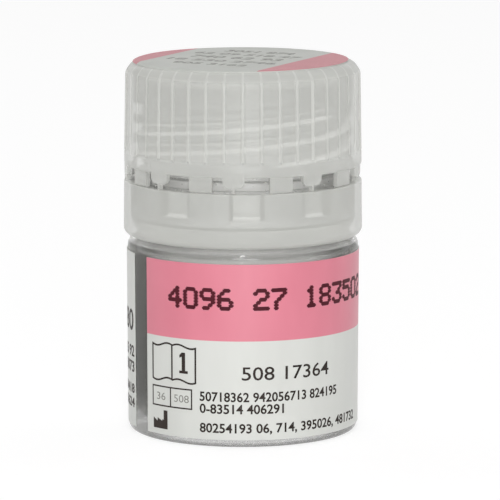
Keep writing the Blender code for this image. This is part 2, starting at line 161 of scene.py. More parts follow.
def addRange(tree, place, low=0.0, high=1.0, first=0.0, last=1.0, **values):
    node = addNode(tree, "ShaderNodeMapRange", place, **values)
    for label, value in (("From Min", low), ("From Max", high), ("To Min", first), ("To Max", last)):
        node.inputs[label].default_value = value
    return node


def spread(tree, source, low, high, place):
    # the part of the noise's range that it mostly fills, spread between two values
    node = addRange(tree, place, *noiseSpan, low, high)
    tree.links.new(source, node.inputs["Value"])
    return node.outputs["Result"]


def bump(tree, shader, height, strength, distance, place):
    node = addNode(tree, "ShaderNodeBump", place)
    node.inputs["Strength"].default_value = strength
    node.inputs["Distance"].default_value = distance * mm
    tree.links.new(height, node.inputs["Height"])
    tree.links.new(node.outputs["Normal"], shader.inputs["Normal"])


def colourBetween(tree, shader, factor, first, second, place):
    node = addNode(tree, "ShaderNodeMix", place, data_type="RGBA")
    node.inputs["A"].default_value = (*first, 1.0)
    node.inputs["B"].default_value = (*second, 1.0)
    tree.links.new(factor, node.inputs["Factor"])
    tree.links.new(node.outputs["Result"], shader.inputs["Base Color"])
    return node


def paintEdgeTone(tree, shader, clean, look):
    # plastic seen edge-on takes another colour: partly the deeper colour of a longer way through it, and
    # partly painted shade at the clear vial's silhouettes and painted light at the frosted plastic's
    edgeOn = addNode(tree, "ShaderNodeLayerWeight", (-300, 600))
    share = addRange(tree, (-100, 600), *look["paintedEdgeToneFrom"], interpolation_type="SMOOTHSTEP")
    node = addNode(tree, "ShaderNodeMix", (200, 400), data_type="RGBA")
    node.inputs["B"].default_value = (*look["paintedEdgeTone"], 1.0)
    tree.links.new(edgeOn.outputs["Facing"], share.inputs["Value"])
    tree.links.new(share.outputs["Result"], node.inputs["Factor"])
    tree.links.new(clean.outputs["Result"], node.inputs["A"])
    tree.links.new(node.outputs["Result"], shader.inputs["Base Color"])


def coverage(tree, shader, look):
    # how much a surface hides: its own value from in front and from behind, more where it is seen
    # edge-on through a longer way in the wall, and less for shadows, so that light reaches the inside
    edgeOn = addNode(tree, "ShaderNodeLayerWeight", (-900, -500))
    front = addRange(tree, (-600, -500), look["turn"], look["turned"], look["front"], look["rim"],
                     interpolation_type="SMOOTHSTEP")
    sides = addRange(tree, (-300, -500), last=look["back"])
    shade = addRange(tree, (-300, -800), first=1.0, last=look["shade"])
    both = addNode(tree, "ShaderNodeMath", (0, -650), operation="MULTIPLY")
    facing = addNode(tree, "ShaderNodeNewGeometry", (-600, -300))
    path = addNode(tree, "ShaderNodeLightPath", (-600, -800))
    tree.links.new(edgeOn.outputs["Facing"], front.inputs["Value"])
    tree.links.new(front.outputs["Result"], sides.inputs["To Min"])
    tree.links.new(facing.outputs["Backfacing"], sides.inputs["Value"])
    tree.links.new(path.outputs["Is Shadow Ray"], shade.inputs["Value"])
    tree.links.new(sides.outputs["Result"], both.inputs[0])
    tree.links.new(shade.outputs["Result"], both.inputs[1])
    tree.links.new(both.outputs["Value"], shader.inputs["Alpha"])


def mouldedPlastic(name, look):
    material, tree, shader = startMaterial(name, IOR=look["ior"], Transmission_Weight=look["clear"],
                                           Specular_IOR_Level=look["gloss"], Coat_Weight=look["coat"],
                                           Coat_Roughness=look["coatRoughness"])
    surface = placeGroup(tree, mouldedSurface, (-700, 0), look["surface"])
    rough = spread(tree, surface.outputs["Haze"], *look["roughness"], (-300, -200))
    tree.links.new(rough, shader.inputs["Roughness"])
    clean = colourBetween(tree, shader, surface.outputs["Specks"], look["colour"], look["speck"],
                          (-100, 200))
    paintEdgeTone(tree, shader, clean, look)
    bump(tree, shader, surface.outputs["Height"], *look["wave"], (0, -400))
    coverage(tree, shader, look)
    return material


def printedPaper(name, look):
    material, tree, shader = startMaterial(name, IOR=1.5, Specular_IOR_Level=look["gloss"],
                                           Coat_Weight=look["coat"], Coat_Roughness=paperCoatRoughness)
    grain = placeGroup(tree, paperGrain, (-700, 0), look["grain"])
    tone = spread(tree, grain.outputs["Tone"], 0.0, 1.0, (-300, 200))
    rough = spread(tree, grain.outputs["Fibre"], *look["roughness"], (-300, -200))
    tree.links.new(rough, shader.inputs["Roughness"])
    colourBetween(tree, shader, tone, look["colour"], look["other"], (-100, 200))
    bump(tree, shader, grain.outputs["Height"], *look["fibre"], (0, -400))
    return material


paperCoatRoughness = 0.4
vialLook = {
    "colour": (0.97, 0.97, 0.95),
    "speck": (0.9, 0.9, 0.87),
    # the edge-on colour here is mostly painted shade at the silhouettes
    "paintedEdgeTone": (0.16, 0.16, 0.145),
    "paintedEdgeToneFrom": (0.1, 0.45),
    "clear": 0.8,
    "ior": 1.49,
    "gloss": 0.5,
    "coat": 0.0,
    "coatRoughness": 0.03,
    "front": 0.6,
    "rim": 0.75,
    "turn": 0.3,
    "turned": 0.9,
    "back": 0.5,
    "shade": 0.1,
    "roughness": (0.02, 0.05),
    "surface": {"Wave Scale": 140.0, "Haze Scale": 1500.0, "Speck Scale": 300.0, "Speck Size": 0.01},
    "wave": (0.1, 0.05),
}
# the shoulder is thicker and a little milky; the neck is as thick, and dull from its mould
shoulderLook = dict(vialLook, paintedEdgeTone=(0.85, 0.85, 0.83), clear=0.6)
neckLook = dict(vialLook, colour=(0.9, 0.9, 0.88), paintedEdgeTone=(0.52, 0.52, 0.5), clear=0.7,
                roughness=(0.26, 0.34))
frostLook = {
    "colour": (0.55, 0.555, 0.53),
    "speck": (0.42, 0.42, 0.4),
    # the edge-on colour here is lighter: painted light at the silhouettes
    "paintedEdgeTone": (0.67, 0.675, 0.645),
    "paintedEdgeToneFrom": (0.05, 0.4),
    "clear": 0.0,
    "ior": 1.49,
    "gloss": 0.12,
    "coat": 0.1,
    "coatRoughness": 0.06,
    "front": 0.64,
    "rim": 0.86,
    "turn": 0.3,
    "turned": 0.9,
    "back": 0.3,
    "shade": 0.3,
    "roughness": (0.34, 0.42),
    "surface": {"Wave Scale": 220.0, "Haze Scale": 1800.0, "Speck Scale": 260.0, "Speck Size": 0.03},
    "wave": (0.06, 0.05),
}
# where the frosted plastic is thick, as at a pad or a thread, it hides what lies behind it
thickLook = dict(frostLook, colour=(0.53, 0.535, 0.51), paintedEdgeTone=(0.58, 0.585, 0.555), front=0.9, back=0.75)
# ribs hide more as thick plastic, and their lighter colour is a painted highlight
ribPaintedLightLook = dict(thickLook, colour=(0.57, 0.575, 0.55), paintedEdgeTone=(0.66, 0.665, 0.635))
# corners that turn the light away get painted shade, dark through the wall, and flanks that send it out get
# painted light
paintedShadeLook = dict(thickLook, colour=(0.25, 0.25, 0.23), paintedEdgeTone=(0.25, 0.25, 0.23), back=0.9)
paintedLightLook = dict(thickLook, colour=(0.85, 0.85, 0.83), paintedEdgeTone=(0.85, 0.85, 0.83), front=1.0, back=1.0)
lensLook = {
    "colour": (0.7, 0.88, 0.95),
    "speck": (0.7, 0.88, 0.95),
    "paintedEdgeTone": (0.6, 0.82, 0.92),
    "paintedEdgeToneFrom": (0.3, 0.9),
    "clear": 1.0,
    "ior": 1.43,
    "gloss": 0.5,
    "coat": 0.0,
    "coatRoughness": 0.03,
    "front": 1.0,
    "rim": 1.0,
    "turn": 0.3,
    "turned": 0.9,
    "back": 1.0,
    "shade": 0.15,
    "roughness": (0.0, 0.01),
    "surface": {"Wave Scale": 300.0, "Haze Scale": 2500.0, "Speck Scale": 500.0, "Speck Size": 0.0},
    "wave": (0.05, 0.01),
}
stockGrain = {"Fibre Scale": 3500.0, "Tone Scale": 260.0}
whiteStock = {
    "colour": (0.68, 0.69, 0.66),
    "other": (0.64, 0.65, 0.62),
    "gloss": 0.5,
    "coat": 0.5,
    "roughness": (0.42, 0.52),
    "grain": stockGrain,
    "fibre": (0.2, 0.02),
}
pinkStock = dict(whiteStock, colour=(0.72, 0.21, 0.28), other=(0.68, 0.19, 0.255))
# the cap label's stock is darker than the side label's: painted shade that offsets the stronger light on
# the cap's top
shadedTopWhiteStock = dict(whiteStock, colour=(0.55, 0.56, 0.53), other=(0.51, 0.52, 0.49),
                     gloss=0.12, coat=0.0)
shadedTopPinkStock = dict(shadedTopWhiteStock, colour=(0.61, 0.265, 0.295), other=(0.57, 0.25, 0.275))
backStock = {
    "colour": (0.75, 0.74, 0.7),
    "other": (0.68, 0.67, 0.63),
    "gloss": 0.3,
    "coat": 0.0,
    "roughness": (0.6, 0.7),
    "grain": stockGrain,
    "fibre": (0.3, 0.03),
}
darkInk = {
    "colour": (0.022, 0.017, 0.014),
    "other": (0.04, 0.03, 0.026),
    "gloss": 0.15,
    "coat": 0.0,
    "roughness": (0.4, 0.55),
    "grain": stockGrain,
    "fibre": (0.1, 0.01),
}
maroonInk = dict(darkInk, colour=(0.06, 0.006, 0.012), other=(0.085, 0.01, 0.018))
paleInk = dict(darkInk, colour=(0.22, 0.22, 0.2), other=(0.28, 0.28, 0.26))
foamLook = {
    "colour": (0.72, 0.72, 0.7),
    "other": (0.66, 0.66, 0.64),
    "gloss": 0.3,
    "coat": 0.0,
    "roughness": (0.6, 0.75),
    "grain": {"Fibre Scale": 2200.0, "Tone Scale": 300.0},
    "fibre": (0.5, 0.05),
}

clearPlastic = mouldedPlastic("clearPlastic", vialLook)
clearShoulder = mouldedPlastic("clearShoulder", shoulderLook)
clearNeck = mouldedPlastic("clearNeck", neckLook)
frostedPlastic = mouldedPlastic("frostedPlastic", frostLook)
frostedThick = mouldedPlastic("frostedThick", thickLook)
frostedRibPaintedLight = mouldedPlastic("frostedRibPaintedLight", ribPaintedLightLook)
frostedPaintedShade = mouldedPlastic("frostedPaintedShade", paintedShadeLook)
frostedPaintedLight = mouldedPlastic("frostedPaintedLight", paintedLightLook)
lensPolymer = mouldedPlastic("lensPolymer", lensLook)
labelWhite = printedPaper("labelWhite", whiteStock)
labelPink = printedPaper("labelPink", pinkStock)
shadedTopWhite = printedPaper("shadedTopWhite", shadedTopWhiteStock)
shadedTopPink = printedPaper("shadedTopPink", shadedTopPinkStock)
labelBack = printedPaper("labelBack", backStock)
inkDark = printedPaper("inkDark", darkInk)
inkMaroon = printedPaper("inkMaroon", maroonInk)
inkPale = printedPaper("inkPale", paleInk)
linerFoam = printedPaper("linerFoam", foamLook)
print("materials ready")


# Shape helpers

def onCircle(radius, angle, height):
    turn = math.radians(angle)
    return Vector((radius * math.sin(turn), -radius * math.cos(turn), height))


def bend(radius, height, reach, first, last, steps):
    # a rounded edge, as (radius, height) points round its centre; 0 degrees points outwards
    points = []
    for step in range(steps + 1):
        turn = math.radians(first + (last - first) * step / steps)
        points.append((radius + reach * math.cos(turn), height + reach * math.sin(turn)))
    return points


def smooth(share):
    share = min(1.0, max(0.0, share))
    return share * share * (3 - 2 * share)


def evenAngles(count, first=0.0, last=360.0):
    return [first + (last - first) * step / count for step in range(count + 1)]


def finishPiece(name, shape, materials, body, nodes=(), centre=(0.0, 0.0, 0.0)):
    bmesh.ops.recalc_face_normals(shape, faces=shape.faces)
    bmesh.ops.scale(shape, vec=(mm, mm, mm), verts=shape.verts)
    mesh = bpy.data.meshes.new(name)
    shape.to_mesh(mesh)
    shape.free()
    mesh.shade_smooth()
    mesh.set_sharp_from_angle(angle=sharpAngle)
    for material in materials:
        mesh.materials.append(material)
    piece = bpy.data.objects.new(name, mesh)
    piece.location = Vector(centre) * mm
    bpy.context.scene.collection.objects.link(piece)
    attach(piece, body)
    if nodes:
        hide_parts(*nodes)
    return piece


def skin(columns, outlineAt, closed=False):
    # joins one outline for each column; points that fall together are merged
    shape = bmesh.new()
    before = None
    for column in columns:
        points = [shape.verts.new(onCircle(radius, column[0], height))
                  for radius, height in outlineAt(*column)]
        if before:
            count = len(points) if closed else len(points) - 1
            for index in range(count):
                follow = (index + 1) % len(points)
                shape.faces.new((before[index], points[index], points[follow], before[follow]))
        before = points
    bmesh.ops.remove_doubles(shape, verts=shape.verts, dist=mergeGap)
    return shape


def markFaces(shape, index, radii, heights, spacing=360.0, first=0.0, reach=(0.0, 181.0), tilt=0.0):
    # gives another of the piece's materials to the faces between two radii and two heights, whose angle
    # from the nearest of some evenly spaced places lies within reach; tilt leaves out upright faces
    shape.normal_update()
    for face in shape.faces:
        middle = face.calc_center_median()
        turn = math.degrees(math.atan2(middle.x, -middle.y))
        away = abs((turn - first + spacing / 2) % spacing - spacing / 2)
        if radii[0] < middle.xy.length < radii[1] and heights[0] < middle.z < heights[1] \
                and reach[0] <= away < reach[1] and abs(face.normal.z) >= tilt:
            face.material_index = index


# Thread shared by neck and cap

threadForm = {
    "starts": 3,
    "pitch": 2.5,
    "depth": 1.0,
    "rootWidth": 1.4,
    "crestWidth": 0.7,
    "firstAngle": 16.0,
    "runOut": 24.0,
    "rimDrop": 1.3,
    "neckSweep": 310.0,
    "capSweep": 280.0,
    "crestGap": 0.3,
    "crestFlat": 0.7,
    "footReach": 0.12,
    "windings": (-6, 6),
}
threadLead = threadForm["starts"] * threadForm["pitch"]
threadStart = vialHigh.z - threadForm["rimDrop"] - threadLead * threadForm["neckSweep"] / 360


def threadStations():
    # how far each row lies from the middle of its ridge, and how high the ridge is there
    crest = threadForm["crestWidth"] / 2
    root = threadForm["rootWidth"] / 2
    half = threadForm["pitch"] / 2
    right = [(0.0, 1.0), (crest * threadForm["crestFlat"], 1.0), (crest, 0.96)]
    for share in (0.25, 0.5, 0.75):
        right.append((crest + (root - crest) * share, 1 - smooth(share)))
    right += [(root, 0.04), (root + threadForm["footReach"], 0.0)]
    left = [(-distance, height) for distance, height in reversed(right[1:])]
    return left + right + [(half, 0.0)]


def threadRows(angle, wall, crest, low, high, offset, sweep):
    # rows that climb with the helix and are held between low and high
    rows = []
    climb = threadLead * (angle - threadForm["firstAngle"]) / 360
    for winding in range(*threadForm["windings"]):
        turned = angle - threadForm["firstAngle"] + 360 / threadForm["starts"] * winding
        rise = min(turned, sweep - turned) / threadForm["runOut"]
        rise = math.sin(min(1.0, max(0.0, rise)) * math.pi / 2)
        middle = threadStart + offset + climb + threadForm["pitch"] * winding
        for distance, share in threadStations():
            height = middle + distance
            if low < height < high:
                rows.append((wall + (crest - wall) * rise * share, height))
            else:
                rows.append((wall, min(high, max(low, height))))
    return rows


# Vial

vialForm = {
    "wall": 1.0,
    "draft": 0.12,
    "shoulderHeight": 24.85,
    "shoulderRadius": 1.2,
    "shoulderThickness": 1.1,
    "innerShoulderRadius": 0.9,
    "baseEdge": 0.8,
    "footWidth": 2.4,
    "footEdge": 0.12,
    "pushUp": 0.6,
    "pushUpSlope": 0.9,
    "gateRadius": 0.8,
    "gateDepth": 0.12,
    "floorThickness": 1.3,
    "floorCorner": 1.1,
    "neckStep": 2.12,
    "neckWall": 1.2,
    "neckFillet": 0.4,
    "mouthEdge": 0.3,
    "beadGap": 0.1,
    "beadHeight": 1.2,
    "beadEdge": 0.3,
    "beadRoot": 0.05,
    "threadLow": 0.1,
    "threadTop": 0.6,
    "columns": 216,
}
bodyRadius = vialHigh.x
neckRadius = bodyRadius - vialForm["neckStep"]
mouthRadius = neckRadius - vialForm["neckWall"]
crestRadius = neckRadius + threadForm["depth"]


def vialOutline(angle):
    form = vialForm
    baseRadius = bodyRadius - form["draft"]
    footOutside = baseRadius - form["baseEdge"]
    footInside = footOutside - form["footWidth"]
    shoulder = form["shoulderHeight"]
    beadLow = ringHigh.z + form["beadGap"]
    beadHigh = beadLow + form["beadHeight"]
    edge = form["beadEdge"]
    innerRadius = bodyRadius - form["wall"]
    innerShoulder = shoulder - form["shoulderThickness"]
    lead = (form["neckStep"] - form["wall"] + form["neckWall"] - form["innerShoulderRadius"]) / 2
    floorHeight = form["pushUp"] + form["floorThickness"]
    hollow = footInside - form["pushUpSlope"]
    points = [
        (0.0, form["pushUp"] - form["gateDepth"]),
        (form["gateRadius"], form["pushUp"] - form["gateDepth"]),
        (form["gateRadius"] + form["gateDepth"], form["pushUp"]),
        (hollow - form["footEdge"], form["pushUp"]),
        (hollow + form["footEdge"], form["pushUp"] - form["footEdge"]),
    ]
    points += bend(footInside, form["footEdge"], form["footEdge"], 200, 270, 3)
    points += bend(footOutside, form["baseEdge"], form["baseEdge"], -90, 0, 8)
    points += bend(bodyRadius - form["shoulderRadius"], shoulder - form["shoulderRadius"],
                   form["shoulderRadius"], 0, 90, 10)
    points += bend(neckRadius + form["neckFillet"], shoulder + form["neckFillet"],
                   form["neckFillet"], 270, 180, 5)
    points.append((neckRadius, beadLow - form["beadRoot"]))
    points += bend(crestRadius - edge, beadLow + edge, edge, -90, 0, 4)
    points += bend(crestRadius - edge, beadHigh - edge, edge, 0, 90, 4)
    points.append((neckRadius, beadHigh + form["beadRoot"]))
    points += threadRows(angle, neckRadius, crestRadius, beadHigh + form["threadLow"],
                         vialHigh.z - form["threadTop"], 0.0, threadForm["neckSweep"])
    mouthEdge = form["mouthEdge"]
    points += bend(neckRadius - mouthEdge, vialHigh.z - mouthEdge, mouthEdge, 0, 90, 4)
    points += bend(mouthRadius + mouthEdge, vialHigh.z - mouthEdge, mouthEdge, 90, 180, 4)
    points += bend(mouthRadius + lead, innerShoulder + lead, lead, 180, 270, 6)
    points += bend(innerRadius - form["innerShoulderRadius"], innerShoulder - form["innerShoulderRadius"],
                   form["innerShoulderRadius"], 90, 0, 6)
    points += bend(innerRadius - form["draft"] - form["floorCorner"], floorHeight + form["floorCorner"],
                   form["floorCorner"], 0, -90, 6)
    points.append((0.0, floorHeight))
    return points


vialColumns = [(angle,) for angle in evenAngles(vialForm["columns"])]
vialShape = skin(vialColumns, vialOutline)
shoulderFrom = vialForm["shoulderHeight"] - vialForm["shoulderRadius"] / 2
neckFrom = vialForm["shoulderHeight"] + vialForm["neckFillet"]
markFaces(vialShape, 1, (0.0, bodyRadius), (shoulderFrom, vialHigh.z + 1))
markFaces(vialShape, 2, (0.0, bodyRadius), (neckFrom, vialHigh.z + 1))
finishPiece("clear_vial", vialShape, [clearPlastic, clearShoulder, clearNeck],
            "vial", ["vial"])
print("vial made")


# Tamper ring

ringForm = {
    "wall": 0.86,
    "draft": 0.06,
    "edge": 0.15,
    "footHeight": 0.95,
    "footDepth": 1.05,
    "lipHeight": 2.25,
    "lipShade": 0.4,
    "lipClearance": 0.8,
    "padCount": 9,
    "padAngle": 18.0,
    "padFirst": 2.0,
    "padHeight": 3.25,
    "padDrop": 0.15,
    "padClearance": 0.45,
    "padEdge": 0.35,
    "padFade": 1.6,
    "padCorner": 0.08,
    "padEndFrom": 7.4,
}


def ringColumns():
    # each pad has a rounded end on both sides, and the wall between pads stays plain
    columns = []
    pitch = 360 / ringForm["padCount"]
    half = ringForm["padAngle"] / 2
    fade = ringForm["padFade"]
    for pad in range(ringForm["padCount"]):
        middle = ringForm["padFirst"] + pad * pitch
        for step in range(5):
            share = step / 4
            columns.append((middle - half + fade * share, smooth(share)))
        for step in range(1, 8):
            columns.append((middle - half + fade + (ringForm["padAngle"] - 2 * fade) * step / 8, 1.0))
        for step in range(5):
            share = step / 4
            columns.append((middle + half - fade + fade * share, smooth(1 - share)))
        gap = pitch - ringForm["padAngle"]
        for step in range(1, 10):
            columns.append((middle + half + gap * step / 10, 0.0))
    columns.append((columns[0][0] + 360, columns[0][1]))
    return columns


def ringOutline(angle, share):
    form = ringForm
    footRadius = ringHigh.x
    ringRadius = footRadius - form["draft"]
    inner = ringRadius - form["wall"]
    pad = inner + (neckRadius + form["padClearance"] - inner) * share
    bevel = form["padEdge"] * share
    padHigh = ringHigh.z - form["padDrop"]
    padLow = padHigh - form["padHeight"]
    lip = neckRadius + form["lipClearance"]
    edge = form["edge"]
    corner = form["padCorner"]
    points = bend(ringRadius - edge, ringHigh.z - edge, edge, 0, 90, 3)
    points += bend(inner + edge, ringHigh.z - edge, edge, 90, 180, 3)[:-1]
    points += [
        (inner, padHigh),
        (pad + corner * share, padHigh),
        (pad, padHigh - corner),
        (pad, padLow + bevel),
        (pad + bevel, padLow),
        (inner, padLow),
        (inner, ringLow.z + form["lipHeight"] + form["lipShade"]),
        (inner, ringLow.z + form["lipHeight"]),
        (lip, ringLow.z + edge),
        (lip + edge, ringLow.z),
    ]
    for step in range(8, -1, -1):
        turn = math.pi / 2 * step / 8
        inset = form["footDepth"] * (1 - math.cos(turn))
        points.append((footRadius - inset, ringLow.z + form["footHeight"] * (1 - math.sin(turn))))
    return points


ringShape = skin(ringColumns(), ringOutline, closed=True)
ringInner = ringHigh.x - ringForm["draft"] - ringForm["wall"]
padTop = ringHigh.z - ringForm["padDrop"]
padFoot = padTop - ringForm["padHeight"]
lipTop = ringLow.z + ringForm["lipHeight"]
padPlaces = (360 / ringForm["padCount"], ringForm["padFirst"])
padEnd = ringForm["padEndFrom"]
insideRing = (neckRadius, ringInner - 0.05)
# pads and lip are thick; the strip above the lip and the pads' ends get painted shade, their lower bevels
# painted light
markFaces(ringShape, 1, insideRing, (ringLow.z + 0.1, padTop + 0.01))
markFaces(ringShape, 2, (ringInner - 0.02, ringInner + 0.02), (lipTop, lipTop + ringForm["lipShade"]))
markFaces(ringShape, 2, insideRing, (padFoot, padTop), *padPlaces, (padEnd, ringForm["padAngle"] / 2))
markFaces(ringShape, 3, insideRing, (padFoot - 0.02, padFoot + ringForm["padEdge"]),
          *padPlaces, (0.0, padEnd))
finishPiece("frosted_ring", ringShape, [frostedPlastic, frostedThick, frostedPaintedShade, frostedPaintedLight],
            "vial", ["tamper_ring"])
print("tamper ring made")


# Cap

capForm = {
    "ribHeight": 0.17,
    "draft": 0.15,
    "topThickness": 1.3,
    "edgeRadius": 1.7,
    "flangeHeight": 1.6,
    "flangeEdge": 0.25,
    "ceilingFillet": 0.4,
    "slotHeight": 2.0,
    "ribCount": 40,
    "ribRoot": 0.62,
    "ribCrest": 0.3,
    "ribFade": 0.62,
    "ribColumns": (-0.31, -0.25, -0.15, 0.0, 0.15, 0.25, 0.31, 0.37, 0.75, 1.16, 1.58, 1.96),
    "threadLow": 0.6,
    "threadTop": 0.8,
    "tabCount": 9,
    "lugFirst": -4.5,
    "lugWidth": 2.75,
    "lugDrop": 1.3,
    "lugCorner": 0.75,
    "lugThickness": 0.72,
    "lugInset": 0.02,
    "bridgeWidth": 0.28,
    "bridgeGap": 0.05,
    "stopTurn": -16.5,
    "stopWidth": 3.05,
    "stopThickness": 0.62,
    "stopInset": 0.26,
    "stopGap": 0.1,
    "tabCorner": 0.14,
    "columnGap": 0.05,
}
skirtLow = ringHigh.z + capForm["slotHeight"]
flangeRadius = capHigh.x
capInner = crestRadius + threadForm["crestGap"]
degreesPerMm = math.degrees(1 / flangeRadius)


def lugDropAt(along):
    form = capForm
    half = form["lugWidth"] / 2
    corner = form["lugCorner"]
    past = along - (half - corner)
    if past <= 0:
        return form["lugDrop"]
    return form["lugDrop"] - corner + math.sqrt(max(0.0, corner * corner - past * past))


def capColumns():
    # the angles follow the ribs; each lug and stop adds its own edges, where the drop jumps.
    # A column is (angle, drop, share of a lug or stop, order among columns at the same angle).
    form = capForm
    half = form["lugWidth"] / 2
    bridge = form["bridgeWidth"] / 2
    reach = form["slotHeight"] - form["bridgeGap"]
    stopHalf = form["stopWidth"] / 2
    stopDrop = form["slotHeight"] - form["stopGap"]
    apart = form["columnGap"]
    lugs = [form["lugFirst"] + tab * 360 / form["tabCount"] for tab in range(form["tabCount"])]
    stops = [lug + form["stopTurn"] for lug in lugs]
    columns = []
    for rib in range(form["ribCount"]):
        middle = rib * 360 / form["ribCount"]
        for offset in form["ribColumns"]:
            angle = middle + offset * degreesPerMm
            along = min(abs((angle - lug + 180) % 360 - 180) for lug in lugs) / degreesPerMm
            beside = min(abs((angle - stop + 180) % 360 - 180) for stop in stops) / degreesPerMm
            if bridge + apart < along < half - apart:
                columns.append((angle % 360, lugDropAt(along), "lug", 0))
            elif beside < stopHalf - apart:
                columns.append((angle % 360, stopDrop, "stop", 0))
            elif along > half + apart and beside > stopHalf + apart:
                columns.append((angle % 360, 0.0, "none", 0))
    for lug in lugs:
        edges = [(-half, 0.0, "none")]
        for share in (-1.0, -0.97, -0.9, -0.8, -0.65):
            edges.append((half * share, lugDropAt(-half * share), "lug"))
        edges += [(-bridge, form["lugDrop"], "lug"), (-bridge, reach, "lug")]
        edges += [(-along, drop, kind) for along, drop, kind in reversed(edges)]
        for order, (along, drop, kind) in enumerate(edges):
            columns.append(((lug + along * degreesPerMm) % 360, drop, kind, order))
    for stop in stops:
        for order, (along, drop, kind) in enumerate((
            (-stopHalf, 0.0, "none"), (-stopHalf, stopDrop, "stop"),
            (stopHalf, stopDrop, "stop"), (stopHalf, 0.0, "none"),
        )):
            columns.append(((stop + along * degreesPerMm) % 360, drop, kind, order))
    columns.sort(key=lambda column: (round(column[0], 6), column[3]))
    columns.append((columns[0][0] + 360, *columns[0][1:]))
    return columns


def rimPoints(drop, kind):
    # from the flange's lower edge round a lug or a stop to the skirt's inner edge
    form = capForm
    edge = form["flangeEdge"]
    low = skirtLow - drop
    soft = min(form["tabCorner"], drop * 0.4)
    if kind == "lug":
        outside = flangeRadius - form["lugInset"]
        inside = outside - form["lugThickness"]
        points = []
        for step in range(5):
            points.append((outside, skirtLow + edge + (low + soft - skirtLow - edge) * step / 5))
    else:
        outside = flangeRadius - form["stopInset"]
        inside = outside - form["stopThickness"]
        points = bend(flangeRadius - edge, skirtLow + edge, edge, 0, -90, 4)
    points += [
        (outside, min(skirtLow, low + soft)),
        (outside, low + soft),
        (outside - soft * 0.3, low + soft * 0.3),
        (outside - soft, low),
        (inside + soft, low),
        (inside, low + soft),
        (inside, skirtLow),
        (capInner + edge, skirtLow),
        (capInner, skirtLow + edge),
    ]
    return points


def ribRise(angle, radius):
    # height of the ribs at an angle, as a share: flat on the crest, sloping down to the root
    form = capForm
    pitch = 360 / form["ribCount"]
    away = abs((angle + pitch / 2) % pitch - pitch / 2)
    along = math.radians(away) * radius
    crest = form["ribCrest"] / 2
    root = form["ribRoot"] / 2
    return 1 - smooth((along - crest * 0.6) / (root - crest * 0.6))


def capOutline(angle, drop, kind, order):
    form = capForm
    wallLow = flangeRadius - form["ribHeight"]
    wallHigh = wallLow - form["draft"]
    reach = form["edgeRadius"]
    edgeHeight = capHigh.z - reach
    flangeTop = skirtLow + form["flangeHeight"]
    rib = ribRise(angle, wallLow) * form["ribHeight"]
    fadeHeight = reach * form["ribFade"]
    ceiling = capHigh.z - form["topThickness"]
    points = [(0.0, capHigh.z), (wallHigh - reach - 0.5, capHigh.z)]
    for step in range(13):
        turn = math.radians(90 - 90 * step / 12)
        climb = reach * math.sin(turn)
        fade = smooth(1 - climb / fadeHeight)
        points.append((wallHigh - reach + reach * math.cos(turn) + rib * fade, edgeHeight + climb))
    points += [
        (wallLow + rib, flangeTop + 0.35),
        (wallLow + max(rib, 0.02), flangeTop + form["ribHeight"] + 0.04),
        (flangeRadius - 0.04, flangeTop + 0.05),
        (flangeRadius, flangeTop - 0.04),
    ]
    points += rimPoints(drop, kind)
    points += threadRows(angle, capInner, neckRadius + threadForm["crestGap"],
                         skirtLow + form["threadLow"], ceiling - form["threadTop"],
                         -threadForm["pitch"] / 2, threadForm["capSweep"])
    fillet = form["ceilingFillet"]
    points += bend(capInner - fillet, ceiling - fillet, fillet, 0, 90, 4)
    points.append((0.0, ceiling))
    return points


capShape = skin(capColumns(), capOutline)
# the thread's flanks get painted light, the rounded top edge is thick, and the ribs are thick and painted
# lighter than the wall, a painted highlight on their crests
ceilingHeight = capHigh.z - capForm["topThickness"]
edgeStart = flangeRadius - capForm["ribHeight"] - capForm["draft"] - capForm["edgeRadius"]
ribPlaces = (360 / capForm["ribCount"], 0.0, (0.0, 0.5))
markFaces(capShape, 2, (neckRadius + threadForm["crestGap"] + 0.02, capInner - 0.02),
          (skirtLow + 0.5, ceilingHeight - 0.7), tilt=0.5)
markFaces(capShape, 1, (edgeStart + 0.1, flangeRadius), (ceilingHeight + 0.05, capHigh.z))
markFaces(capShape, 3, (capInner + 0.1, flangeRadius + 1),
          (skirtLow + capForm["flangeHeight"] + 0.36, capHigh.z), *ribPlaces)
markFaces(capShape, 3, (edgeStart + 0.1, flangeRadius), (ceilingHeight + 0.05, capHigh.z), *ribPlaces)
finishPiece("frosted_cap", capShape, [frostedPlastic, frostedThick, frostedPaintedLight, frostedRibPaintedLight],
            "cap", ["cap"])
print("cap made")


# Liner and lens

linerForm = {"edge": 0.12, "columns": 128}


def linerOutline(angle):
    radius = linerHigh.x
    edge = linerForm["edge"]
    points = [(0.0, linerHigh.z)]
    points += bend(radius - edge, linerHigh.z - edge, edge, 90, 0, 3)
    points += bend(radius - edge, linerLow.z + edge, edge, 0, -90, 3)
    points.append((0.0, linerLow.z))
    return points


linerColumns = [(angle,) for angle in evenAngles(linerForm["columns"])]
finishPiece("foam_liner", skin(linerColumns, linerOutline), [linerFoam],
            "liner", ["cap_liner"])

lensForm = {"baseCurve": 7.8, "thickness": 0.16, "edge": 0.11, "steps": 20, "columns": 96}


def lensOutline(angle):
    form = lensForm
    radius = lensHigh.x
    curve = form["baseCurve"]
    rimDrop = curve - math.sqrt(curve * curve - radius * radius)
    front = []
    back = []
    for step in range(form["steps"] + 1):
        out = radius * step / form["steps"]
        sag = curve - math.sqrt(curve * curve - out * out)
        thick = form["thickness"] + (form["edge"] - form["thickness"]) * (out / radius) ** 2
        back.append((out, lensLow.z + rimDrop - sag))
        front.append((out - 0.03 * (step == form["steps"]), lensLow.z + rimDrop - sag + thick))
    return front + back[::-1]


lensColumns = [(angle,) for angle in evenAngles(lensForm["columns"])]
finishPiece("rigid_lens", skin(lensColumns, lensOutline), [lensPolymer], "vial", ["contact_lens"])
print("liner and lens made")


# Side label: a strip with a pink field over a white one, and a dull back that shows through the vial

